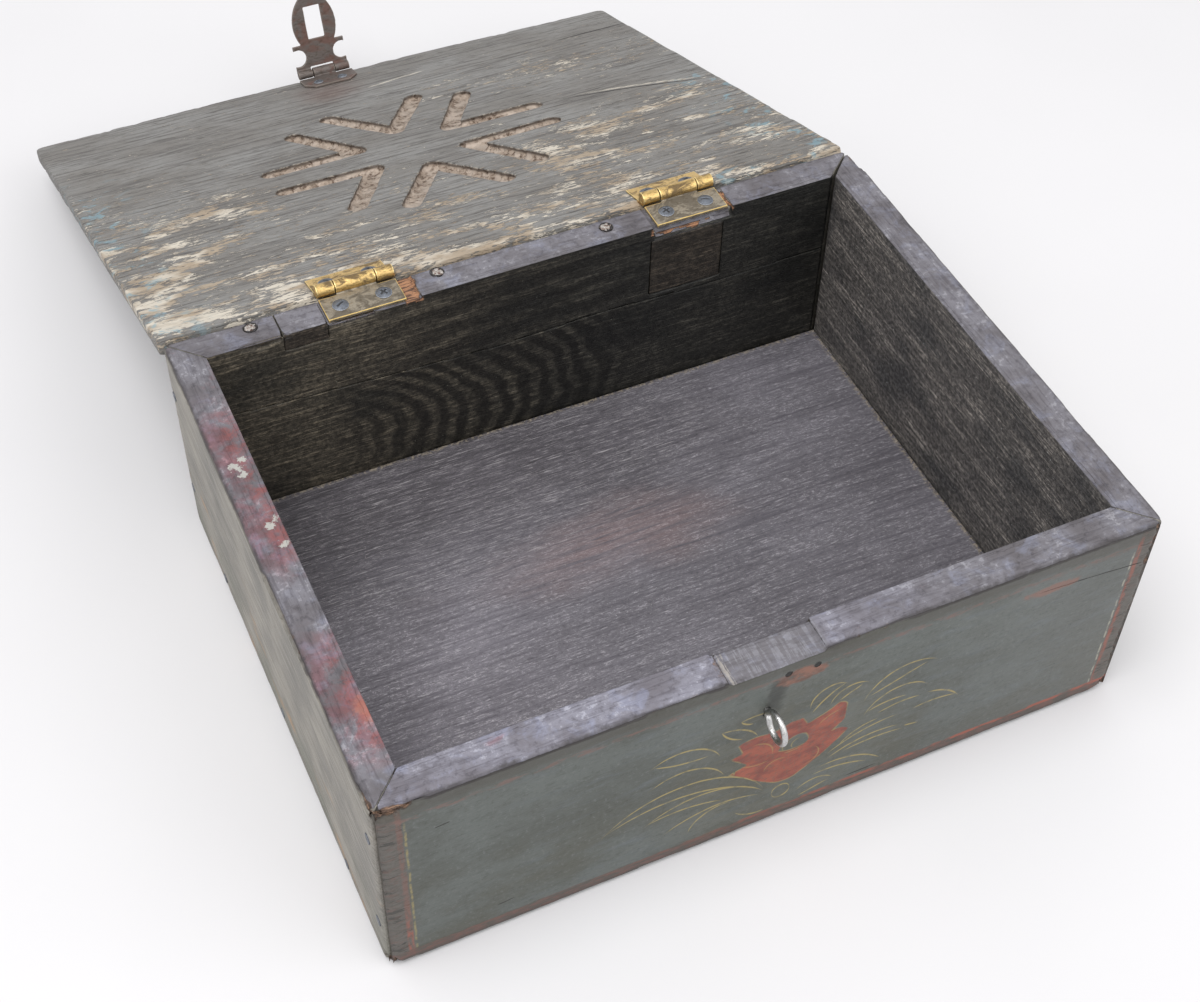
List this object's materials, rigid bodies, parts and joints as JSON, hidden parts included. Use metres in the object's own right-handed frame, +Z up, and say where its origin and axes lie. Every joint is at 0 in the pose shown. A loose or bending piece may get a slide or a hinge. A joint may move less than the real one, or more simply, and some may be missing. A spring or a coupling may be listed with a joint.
{
  "type": "antique candle box",
  "caption": "Small mitred wooden box with a carved flat lid on brass butt hinges, standing open, and an iron hasp that drops over a wire staple on the front.",
  "frame": {"origin": "middle of the box's underside, on the surface it stands on", "axes": "+X to the right seen from the front, +Y from the front to the back, where the open lid lies, +Z up"},
  "size_m": [0.2549, 0.4145, 0.0861],
  "materials": {
    "painted_wood": "worn grey-green and brown-red paint on old wood",
    "bare_wood": "dark unpainted old wood",
    "brass": "dull aged brass",
    "steel": "dull grey steel",
    "steel_wire": "drawn steel wire",
    "rusty_iron": "dark rusty sheet iron"
  },
  "bodies": {
    "box": {"front_board": "painted_wood", "back_board_upper": "bare_wood", "back_board_lower": "bare_wood", "left_side_board": "painted_wood", "right_side_board": "painted_wood", "floor_board": "bare_wood", "rim_patch": "painted_wood", "back_wall_patch": "bare_wood", "screw_hole_plugs": "bare_wood", "staple_eye": "steel_wire", "hinge_left_box_leaf": "brass", "hinge_left_pin": "brass", "hinge_right_box_leaf": "brass", "hinge_right_pin": "brass", "box_hinge_screws": "steel", "corner_nails": "rusty_iron", "floor_nails": "rusty_iron"},
    "lid": {"lid_board": "painted_wood", "hinge_left_lid_leaf": "brass", "hinge_right_lid_leaf": "brass", "lid_hinge_screws": "steel", "hasp_plate": "rusty_iron", "hasp_pin": "rusty_iron", "hasp_screws": "steel"},
    "hasp": {"hasp_tongue": "rusty_iron"}
  },
  "joints": [
    {"name": "lid_hinge", "type": "hinge", "parent": "box", "child": "lid", "pos_m": [0, 0.0978, 0.0837], "axis": [1, 0, 0], "range_deg": [0, 198.65]},
    {"name": "hasp_hinge", "type": "hinge", "parent": "lid", "child": "hasp", "pos_m": [-0.007, 0.29415, 0.02074], "axis": [-1, 0, 0], "range_deg": [-18, 95]}
  ]
}
